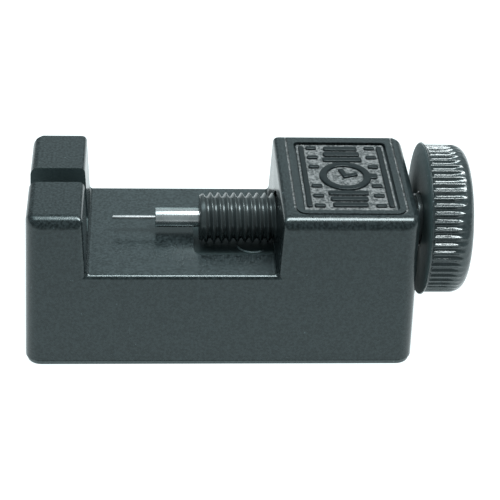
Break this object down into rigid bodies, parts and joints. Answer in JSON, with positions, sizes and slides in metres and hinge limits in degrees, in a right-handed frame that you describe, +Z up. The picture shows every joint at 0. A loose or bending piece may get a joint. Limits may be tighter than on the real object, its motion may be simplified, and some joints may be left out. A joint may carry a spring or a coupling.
{
  "type": "watch bracelet pin press",
  "caption": "Small bench press that pushes link pins out of a watch bracelet: bed between a slotted post and a threaded block, screw spindle with ribbed knob and thin steel punch.",
  "frame": {"origin": "centre of the base's underside", "axes": "+X from the slotted post to the knob, along the spindle; -Y is the front; +Z up"},
  "size_m": [0.0847, 0.0314, 0.0385],
  "materials": {
    "black_plastic": "satin moulded black with a fine grain",
    "knob_plastic": "half-gloss moulded black",
    "black_steel": "blackened steel",
    "bright_steel": "ground steel",
    "brass": "turned brass"
  },
  "bodies": {
    "frame": {"body_frame": "black_plastic", "base_plate": "black_plastic", "base_screw_1": "bright_steel", "base_screw_2": "bright_steel", "base_screw_3": "bright_steel", "base_screw_4": "bright_steel", "thread_bush": "brass"},
    "punch": {"punch_holder": "bright_steel", "punch_pin": "bright_steel", "holder_ring": "bright_steel", "thrust_ball": "bright_steel"},
    "spindle": {"spindle": "black_steel", "knob": "knob_plastic", "knob_washer": "bright_steel", "knob_screw": "bright_steel", "knob_cap": "knob_plastic"}
  },
  "joints": [
    {"name": "punch_feed", "type": "slide", "parent": "frame", "child": "punch", "axis": [1, 0, 0], "range_m": [-0.0008, 0.023]},
    {"name": "knob_turn", "type": "hinge", "parent": "punch", "child": "spindle", "pos_m": [0, 0, 0.02365], "axis": [1, 0, 0], "range_deg": [-192.1, 5520.1]}
  ],
  "couplings": [
    {"joint": "knob_turn", "follows": "punch_feed", "rad_per_m": 4188.8}
  ]
}
